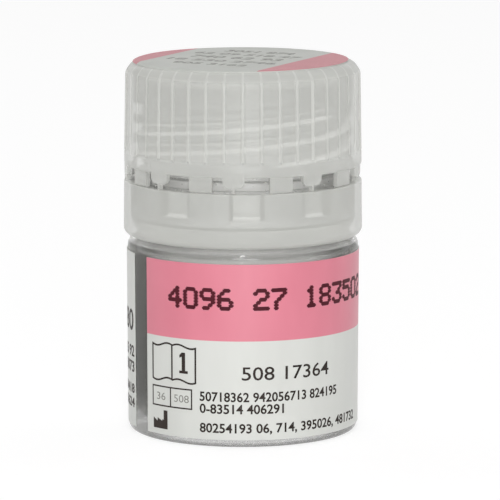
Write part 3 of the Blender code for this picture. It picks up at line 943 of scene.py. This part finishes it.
sideLabel = {
    "firstAngle": -54.9,
    "lastAngle": 292.0,
    "gap": 0.03,
    "thickness": 0.08,
    "pinkLow": 13.5,
    "pinkEnd": 236.0,
    "columns": 360,
}
labelOuter = labelHigh.x


def labelRadius(height):
    # the label follows the body's slight taper
    body = vialForm
    taper = body["draft"] / (body["shoulderHeight"] - body["shoulderRadius"] - body["baseEdge"])
    return bodyRadius - body["draft"] + (height - body["baseEdge"]) * taper \
        + sideLabel["gap"] + sideLabel["thickness"]


def makeSideLabel():
    form = sideLabel
    shape = bmesh.new()
    rows = [labelLow.z, form["pinkLow"], labelHigh.z]
    rings = []
    for angle in evenAngles(form["columns"], form["firstAngle"], form["lastAngle"]):
        outer = [shape.verts.new(onCircle(labelRadius(height), angle, height)) for height in rows]
        inner = [shape.verts.new(onCircle(labelRadius(height) - form["thickness"], angle, height))
                 for height in reversed(rows)]
        rings.append((angle, outer + inner))
    for (angle, before), (_, after) in zip(rings, rings[1:]):
        for index in range(len(before)):
            follow = (index + 1) % len(before)
            face = shape.faces.new((before[index], after[index], after[follow], before[follow]))
            if index == 1:
                face.material_index = 1 if angle < form["pinkEnd"] else 0
            elif index in (3, 4):
                face.material_index = 2
    shape.faces.new(rings[0][1])
    shape.faces.new(rings[-1][1][::-1])
    return finishPiece("printed_side_label", shape, [labelWhite, labelPink, labelBack], "vial",
                       ["side_label"])


makeSideLabel()
print("side label made")


# Print: flat shapes in (along, up) that are wrapped on the label as thin ink

inkForm = {"proud": 0.012, "sink": 0.02, "step": 0.3, "digitShare": 0.73}
dotDigits = {
    "0": ("01110", "10001", "10001", "10001", "10001", "10001", "01110"),
    "1": ("00100", "01100", "00100", "00100", "00100", "00100", "01110"),
    "2": ("01110", "10001", "00001", "00110", "01000", "10000", "11111"),
    "3": ("11111", "00001", "00010", "00110", "00001", "10001", "01110"),
    "4": ("00010", "00110", "01010", "10010", "11111", "00010", "00010"),
    "5": ("11111", "10000", "11110", "00001", "00001", "10001", "01110"),
    "6": ("00110", "01000", "10000", "11110", "10001", "10001", "01110"),
    "7": ("11111", "00001", "00010", "00100", "01000", "01000", "01000"),
    "8": ("01110", "10001", "10001", "01110", "10001", "10001", "01110"),
    "9": ("01110", "10001", "10001", "01111", "00001", "00010", "01100"),
}


def flatShape(outlines):
    shape = bmesh.new()
    for outline in outlines:
        shape.faces.new([shape.verts.new((along, up, 0.0)) for along, up in outline])
    return shape


def bar(left, low, right, high):
    return [(left, low), (right, low), (right, high), (left, high)]


def frameBars(left, low, right, high, line):
    return [
        bar(left, low, right, low + line),
        bar(left, high - line, right, high),
        bar(left, low + line, left + line, high - line),
        bar(right - line, low + line, right, high - line),
    ]


def dotRow(text, form):
    # five by seven cells a digit; a dot is a blunt-cornered spot wider than its cell, so that strokes join
    across, upright = form["dot"]
    filled = set()
    for place, digit in enumerate(text):
        for row, line in enumerate(dotDigits.get(digit, ())):
            for column, mark in enumerate(line):
                if mark == "0":
                    continue
                left = (place * 6 + column) * 3 - 1
                low = (6 - row) * 3
                for x in range(across):
                    for y in range(upright):
                        if not (x in (0, across - 1) and y in (0, upright - 1)):
                            filled.add((left + x, low + y))
    third = form["cell"] / 3
    return [bar(x * third, y * third, (x + 1) * third, (y + 1) * third) for x, y in sorted(filled)]


def digitsShape(text, height, weight):
    # plain digits from Blender's own font, flat, with their baseline on zero
    curve = bpy.data.curves.new("digits", "FONT")
    curve.body = text
    curve.size = height / inkForm["digitShare"]
    curve.offset = weight
    curve.resolution_u = 3
    holder = bpy.data.objects.new("digits", curve)
    mesh = holder.to_mesh()
    shape = bmesh.new()
    shape.from_mesh(mesh)
    holder.to_mesh_clear()
    bpy.data.objects.remove(holder)
    bpy.data.curves.remove(curve)
    return shape


def fitWidth(shape, width):
    spots = [vert.co.x for vert in shape.verts]
    shrink = width / (max(spots) - min(spots))
    start = min(spots)
    for vert in shape.verts:
        vert.co.x = (vert.co.x - start) * shrink
    return shape


def shiftShape(shape, along, up):
    bmesh.ops.translate(shape, vec=(along, up, 0.0), verts=shape.verts)
    return shape


def gather(shapes):
    # one mesh from several flat shapes
    whole = bmesh.new()
    for shape in shapes:
        carrier = bpy.data.meshes.new("carrier")
        shape.to_mesh(carrier)
        shape.free()
        whole.from_mesh(carrier)
        bpy.data.meshes.remove(carrier)
    return whole


def digitRows(form):
    # rows of digits, each fitted to its own width and put in its place, as one flat shape
    return gather([
        shiftShape(fitWidth(digitsShape(row["text"], row["height"], form["weight"]), row["width"]),
                   row["along"], row["low"])
        for row in form["rows"]
    ])


def thicken(shape):
    # gives the flat ink a small thickness and cuts it fine enough to follow the curve
    spots = [vert.co.x for vert in shape.verts]
    cut = math.floor(min(spots) / inkForm["step"]) * inkForm["step"]
    while cut < max(spots):
        parts = shape.verts[:] + shape.edges[:] + shape.faces[:]
        bmesh.ops.bisect_plane(shape, geom=parts, dist=1e-5, plane_co=(cut, 0, 0), plane_no=(1, 0, 0))
        cut += inkForm["step"]
    flat = shape.faces[:]
    raised = bmesh.ops.extrude_face_region(shape, geom=flat, use_keep_orig=True)
    for item in raised["geom"]:
        if isinstance(item, bmesh.types.BMVert):
            item.co.z = inkForm["proud"] + inkForm["sink"]
    return shape


def wrapInk(name, shape, firstAngle, ink):
    # along runs round the label from firstAngle, up is the height above the floor
    thicken(shape)
    for vert in shape.verts:
        radius = labelRadius(vert.co.y)
        angle = firstAngle + math.degrees(vert.co.x / labelOuter)
        vert.co = onCircle(radius - inkForm["sink"] + vert.co.z, angle, vert.co.y)
    return finishPiece(name, shape, [ink], "vial")


rowForm = {"text": "4096 27 183502 6419", "cell": 0.378, "angle": -38.8, "low": 17.36, "dot": (5, 4)}
dotRowShape = flatShape(dotRow(rowForm["text"], rowForm))
bmesh.ops.remove_doubles(dotRowShape, verts=dotRowShape.verts, dist=0.001)
shiftShape(dotRowShape, 0.0, rowForm["low"])
wrapInk("dot_digits", dotRowShape, rowForm["angle"], inkMaroon)
print("dot digits made")

leaflet = {
    "angle": -50.6,
    "width": 7.0,
    "low": 8.1,
    "high": 12.5,
    "fold": 3.45,
    "wave": 0.22,
    "line": 0.23,
    "numeral": {"middle": 5.2, "low": 9.1, "high": 11.75, "stem": 0.5, "foot": 1.25, "line": 0.34},
}


def waveAt(along):
    pages = ((0.0, leaflet["fold"]), (leaflet["fold"], leaflet["width"]))
    first, last = pages[0] if along < leaflet["fold"] else pages[1]
    share = (along - first) / (last - first)
    return leaflet["wave"] * math.sin(share * math.tau * 0.95 + math.pi * (1 if first == 0.0 else 0))


def leafletOutlines():
    form = leaflet
    outlines = []
    steps = 28
    for level in (form["low"], form["high"]):
        for step in range(steps):
            left = form["width"] * step / steps
            right = form["width"] * (step + 1) / steps
            outlines.append([
                (left, level + waveAt(left) - form["line"] / 2),
                (right, level + waveAt(right - 1e-6) - form["line"] / 2),
                (right, level + waveAt(right - 1e-6) + form["line"] / 2),
                (left, level + waveAt(left) + form["line"] / 2),
            ])
    for along in (0.0, form["fold"] - form["line"] / 2, form["width"] - form["line"]):
        low = form["low"] + waveAt(along + form["line"] / 2)
        outlines.append(bar(along, low, along + form["line"], low + form["high"] - form["low"]))
    return outlines


def numeralOutlines():
    # a numeral one: foot, stem and a short flag
    form = leaflet["numeral"]
    left = form["middle"] - form["stem"] / 2
    right = form["middle"] + form["stem"] / 2
    top = form["low"] + form["line"]
    return [
        bar(form["middle"] - form["foot"] / 2, form["low"], form["middle"] + form["foot"] / 2, top),
        bar(left, top, right, form["high"]),
        [(left, form["high"]), (left - form["line"], form["high"] - form["line"]),
         (left - form["line"], form["high"] - 2 * form["line"]), (left, form["high"] - 1.6 * form["line"])],
    ]


wrapInk("leaflet_mark", flatShape(leafletOutlines() + numeralOutlines()), leaflet["angle"], inkDark)

cells = {
    "angle": -50.6,
    "width": 6.43,
    "low": 4.58,
    "high": 7.2,
    "divider": 3.1,
    "line": 0.18,
    "weight": 0.0,
    "rows": (
        {"text": "36", "height": 1.0, "low": 5.4, "along": 0.85, "width": 1.5},
        {"text": "508", "height": 1.0, "low": 5.4, "along": 3.75, "width": 2.2},
    ),
}
cellShape = flatShape(
    frameBars(0.0, cells["low"], cells["width"], cells["high"], cells["line"])
    + [bar(cells["divider"], cells["low"] + cells["line"], cells["divider"] + cells["line"],
           cells["high"] - cells["line"])]
)
wrapInk("two_cell_box", cellShape, cells["angle"], inkDark)
wrapInk("cell_digits", digitRows(cells), cells["angle"], inkPale)

block = {
    "angle": -49.9,
    "low": 1.72,
    "floor": 2.47,
    "step": 2.9,
    "peak": 3.05,
    "high": 4.1,
    "width": 2.5,
    "notches": (0.75, 1.6, 1.85),
}
firstNotch, secondNotch, towerLeft = block["notches"]
blockOutlines = [
    bar(0.0, block["low"], block["width"], block["floor"]),
    [(0.0, block["floor"]), (firstNotch, block["floor"]), (firstNotch, 2.62), (0.0, block["peak"])],
    [(firstNotch, block["floor"]), (secondNotch, block["floor"]), (secondNotch, 2.72),
     (firstNotch, block["peak"])],
    bar(secondNotch, block["floor"], block["width"], block["step"]),
    bar(towerLeft, block["step"], block["width"], block["high"]),
]
wrapInk("stepped_block", flatShape(blockOutlines), block["angle"], inkDark)

smallRows = {
    "angle": -21.6,
    "weight": 0.036,
    "rows": (
        {"text": "50718362 942056713 824195", "height": 1.2, "low": 5.88, "along": 0.0, "width": 19.2},
        {"text": "0-83514 406291", "height": 1.2, "low": 4.35, "along": 0.0, "width": 10.8},
        {"text": "80254193 06, 714, 395026, 481732", "height": 1.2, "low": 1.92, "along": 0.0,
         "width": 24.1},
    ),
}
wrapInk("small_digits", digitRows(smallRows), smallRows["angle"], inkDark)

largeRow = {
    "angle": -21.6,
    "weight": 0.016,
    "rows": ({"text": "508 17364", "height": 1.75, "low": 8.6, "along": 5.4, "width": 12.2},),
}
wrapInk("large_digits", digitRows(largeRow), largeRow["angle"], inkDark)

tailRows = {
    "angle": 255.0,
    "weight": 0.05,
    "rows": (
        {"text": "7480", "height": 2.8, "low": 13.2, "along": 0.6, "width": 8.4},
        {"text": "30615 92", "height": 1.4, "low": 9.9, "along": 0.8, "width": 8.4},
        {"text": "148 5073", "height": 1.4, "low": 7.9, "along": 0.8, "width": 8.4},
        {"text": "26 90418", "height": 1.2, "low": 5.2, "along": 0.8, "width": 8.4},
        {"text": "57 13624", "height": 1.2, "low": 3.4, "along": 0.8, "width": 8.4},
    ),
}
wrapInk("tail_digits", digitRows(tailRows), tailRows["angle"], inkDark)
print("label print made")


# Cap label: a disc with a white band between two pink ends, its rim bent down over the cap's edge

capLabel = {
    "bandTurn": 64.0,
    "rightEdge": 7.7,
    "leftEdge": -10.0,
    "columns": 96,
    "rows": 64,
}
labelMiddle = (topLabelLow + topLabelHigh) / 2
labelMiddle.z = 0.0
topRadius = topLabelHigh.x - labelMiddle.x
bandTurn = math.radians(capLabel["bandTurn"])
bandAcross = Vector((math.sin(bandTurn), -math.cos(bandTurn), 0.0))
bandAlong = Vector((math.cos(bandTurn), math.sin(bandTurn), 0.0))
# the ink's own thickness comes out of the label's, so that nothing stands above the part
topFace = topLabelHigh.z - inkForm["proud"]


def labelFall(spot):
    # how far the cap's rounded edge has fallen at a spot that is measured from the label's middle
    reach = capForm["edgeRadius"]
    past = max(0.0, (spot + labelMiddle).length - edgeStart)
    return reach - math.sqrt(max(0.0, reach * reach - past * past))


def makeCapLabel():
    form = capLabel
    columns, rows = form["columns"], form["rows"]
    thick = topLabelHigh.z - topLabelLow.z
    shape = bmesh.new()
    # columns across the bands, so that their borders are straight edges of the mesh
    stations = sorted({-topRadius + 2 * topRadius * step / columns for step in range(columns + 1)}
                      | {form["leftEdge"], form["rightEdge"]})
    grid = []
    for offset in stations:
        half = math.sqrt(max(0.0, topRadius ** 2 - offset ** 2))
        column = []
        for step in range(rows + 1):
            reach = -math.cos(math.pi * step / rows) * half
            spot = bandAcross * offset + bandAlong * reach
            fall = labelFall(spot)
            top = shape.verts.new((spot.x, spot.y, topFace - fall))
            under = shape.verts.new((spot.x, spot.y, topLabelHigh.z - thick - fall))
            column.append((top, under))
        grid.append((offset, column))
    for (offset, before), (later, after) in zip(grid, grid[1:]):
        middle = (offset + later) / 2
        pink = middle > form["rightEdge"] or middle < form["leftEdge"]
        for step in range(rows):
            for side in (0, 1):
                face = shape.faces.new((before[step][side], after[step][side],
                                        after[step + 1][side], before[step + 1][side]))
                face.material_index = 1 if pink and side == 0 else 0
        for step in (0, rows):
            shape.faces.new((before[step][0], after[step][0], after[step][1], before[step][1]))
    bmesh.ops.remove_doubles(shape, verts=shape.verts, dist=mergeGap)
    return finishPiece("printed_cap_label", shape, [shadedTopWhite, shadedTopPink], "cap",
                       ["cap_label"], labelMiddle)


makeCapLabel()

topRows = {
    "weight": 0.05,
    "rows": (
        {"text": "3051 874", "height": 1.8, "low": 6.6, "along": -5.6, "width": 9.6},
        {"text": "62 09 518 47", "height": 1.8, "low": 3.1, "along": -8.2, "width": 14.6},
        {"text": "740 62 93", "height": 2.2, "low": -0.6, "along": -7.0, "width": 12.6},
        {"text": "18 530 2746", "height": 1.8, "low": -4.2, "along": -8.4, "width": 15.0},
        {"text": "905 3162", "height": 1.6, "low": -7.6, "along": -6.0, "width": 10.2},
    ),
}


def makeTopPrint():
    # the rows run across the white band, from one pink end to the other
    shape = thicken(digitRows(topRows))
    for vert in shape.verts:
        spot = bandAcross * vert.co.x + bandAlong * vert.co.y
        height = topFace - labelFall(spot) - inkForm["sink"] + vert.co.z
        vert.co = Vector((spot.x, spot.y, height))
    return finishPiece("top_digits", shape, [inkPale], "cap", (), labelMiddle)


makeTopPrint()
print("cap label made")


# Floor, world, lamps and camera

stageForm = {
    "floorSize": 6.0,
    "floorDrop": 0.00002,
    "floorColour": (0.86, 0.86, 0.85),
    "floorSeen": (0.3, 0.3, 0.3),
    "floorLift": 0.77,
    "horizonLevel": 0.59,
    "zenithLevel": 0.2,
    "horizonSeen": 1.0,
    "zenithSeen": 0.3,
    "seenTurn": 0.45,
}


def seenDirectly(tree, place):
    # one for rays that show the background itself: straight from the camera, mirrored or let through,
    # and not yet scattered by a matt surface
    path = addNode(tree, "ShaderNodeLightPath", place)
    first = addNode(tree, "ShaderNodeMath", (place[0] + 200, place[1]), operation="MAXIMUM")
    second = addNode(tree, "ShaderNodeMath", (place[0] + 400, place[1]), operation="MAXIMUM")
    unscattered = addNode(tree, "ShaderNodeMath", (place[0] + 400, place[1] - 200), operation="LESS_THAN")
    unscattered.inputs[1].default_value = 0.5
    both = addNode(tree, "ShaderNodeMath", (place[0] + 600, place[1]), operation="MULTIPLY")
    tree.links.new(path.outputs["Is Camera Ray"], first.inputs[0])
    tree.links.new(path.outputs["Is Glossy Ray"], first.inputs[1])
    tree.links.new(first.outputs["Value"], second.inputs[0])
    tree.links.new(path.outputs["Is Transmission Ray"], second.inputs[1])
    tree.links.new(path.outputs["Diffuse Depth"], unscattered.inputs[0])
    tree.links.new(second.outputs["Value"], both.inputs[0])
    tree.links.new(unscattered.outputs["Value"], both.inputs[1])
    return both.outputs["Value"]


def makeFloor():
    half = stageForm["floorSize"] / 2
    mesh = bpy.data.meshes.new("floor")
    corners = [(-half, -half), (half, -half), (half, half), (-half, half)]
    mesh.from_pydata([(x, y, -stageForm["floorDrop"]) for x, y in corners], [], [(0, 1, 2, 3)])
    material, tree, shader = startMaterial("paleFloor", Roughness=0.8)
    shader.inputs["Specular IOR Level"].default_value = 0.0
    shader.inputs["Emission Color"].default_value = (1.0, 1.0, 1.0, 1.0)
    # where it is seen, part of its white is its own and part is lit, so that a shadow still shows on it
    seen = seenDirectly(tree, (-600, -300))
    colourBetween(tree, shader, seen, stageForm["floorColour"], stageForm["floorSeen"], (200, 100))
    lift = addNode(tree, "ShaderNodeMath", (200, -300), operation="MULTIPLY")
    lift.inputs[1].default_value = stageForm["floorLift"]
    tree.links.new(seen, lift.inputs[0])
    tree.links.new(lift.outputs["Value"], shader.inputs["Emission Strength"])
    mesh.materials.append(material)
    floor = bpy.data.objects.new("floor", mesh)
    bpy.context.scene.collection.objects.link(floor)


def makeWorld():
    world = bpy.data.worlds.new("studio")
    bpy.context.scene.world = world
    world.use_nodes = True
    tree = world.node_tree
    background = tree.nodes["Background"]
    background.inputs["Color"].default_value = (1.0, 1.0, 1.0, 1.0)
    # both what lights the object and what shows in it grow dimmer overhead
    spot = addNode(tree, "ShaderNodeTexCoord", (-900, 300))
    parts = addNode(tree, "ShaderNodeSeparateXYZ", (-700, 300))
    lit = addRange(tree, (-500, 400), first=stageForm["horizonLevel"], last=stageForm["zenithLevel"])
    seen = addRange(tree, (-500, 100), low=stageForm["seenTurn"], first=stageForm["horizonSeen"],
                    last=stageForm["zenithSeen"])
    level = addRange(tree, (-200, 0))
    tree.links.new(spot.outputs["Generated"], parts.inputs["Vector"])
    tree.links.new(parts.outputs["Z"], lit.inputs["Value"])
    tree.links.new(parts.outputs["Z"], seen.inputs["Value"])
    tree.links.new(lit.outputs["Result"], level.inputs["To Min"])
    tree.links.new(seen.outputs["Result"], level.inputs["To Max"])
    tree.links.new(seenDirectly(tree, (-900, -200)), level.inputs["Value"])
    tree.links.new(level.outputs["Result"], background.inputs["Strength"])


lampAim = Vector((0, 0, 0.024))
lamps = {
    "frontSoftbox": {"place": (0.02, -0.8, 0.16), "size": (0.34, 0.26), "power": 1.9},
    "lowLamp": {"place": (0.1, -0.78, 0.06), "size": (0.3, 0.1), "power": 0.4},
    "overheadLamp": {"place": (0.0, -0.22, 0.66), "size": (0.06, 0.06), "power": 0.25},
    "highLamp": {"place": (0.0, -0.52, 0.54), "size": (0.06, 0.3), "power": 1.4},
    "leftWindow": {"place": (-0.46, 0.5, 0.66), "size": (0.7, 0.7), "power": 1.4},
    "rightWindow": {"place": (0.46, 0.4, 0.7), "size": (0.7, 0.7), "power": 1.2},
}


def makeLamp(name, lamp):
    light = bpy.data.lights.new(name, "AREA")
    light.shape = "RECTANGLE"
    light.size, light.size_y = lamp["size"]
    light.energy = lamp["power"]
    holder = bpy.data.objects.new(name, light)
    holder.location = lamp["place"]
    holder.rotation_euler = (lampAim - holder.location).to_track_quat("-Z", "Y").to_euler()
    bpy.context.scene.collection.objects.link(holder)


cameraForm = {
    "distance": 567.2,
    "elevation": 8.83,
    "heightShare": 0.5013,
    "lens": 321.9,
    "sensor": 36.0,
    "clip": (0.01, 20.0),
    "aimRight": 0.9,
    "aimDown": 0.86,
}


def makeCamera():
    form = cameraForm
    lens = bpy.data.cameras.new("camera")
    lens.lens = form["lens"]
    lens.sensor_width = form["sensor"]
    lens.clip_start, lens.clip_end = form["clip"]
    camera = bpy.data.objects.new("camera", lens)
    tilt = math.radians(form["elevation"])
    middle = capHigh.z * form["heightShare"]
    spot = Vector((0.0, -form["distance"] * math.cos(tilt), middle + form["distance"] * math.sin(tilt)))
    aim = Vector((form["aimRight"], 0.0, middle - form["aimDown"]))
    camera.location = spot * mm
    camera.rotation_euler = (aim - spot).to_track_quat("-Z", "Y").to_euler()
    bpy.context.scene.collection.objects.link(camera)
    bpy.context.scene.camera = camera


makeFloor()
makeWorld()
for lampName, lampForm in lamps.items():
    makeLamp(lampName, lampForm)
makeCamera()
bpy.context.scene.view_settings.view_transform = "Standard"
print("stage made")
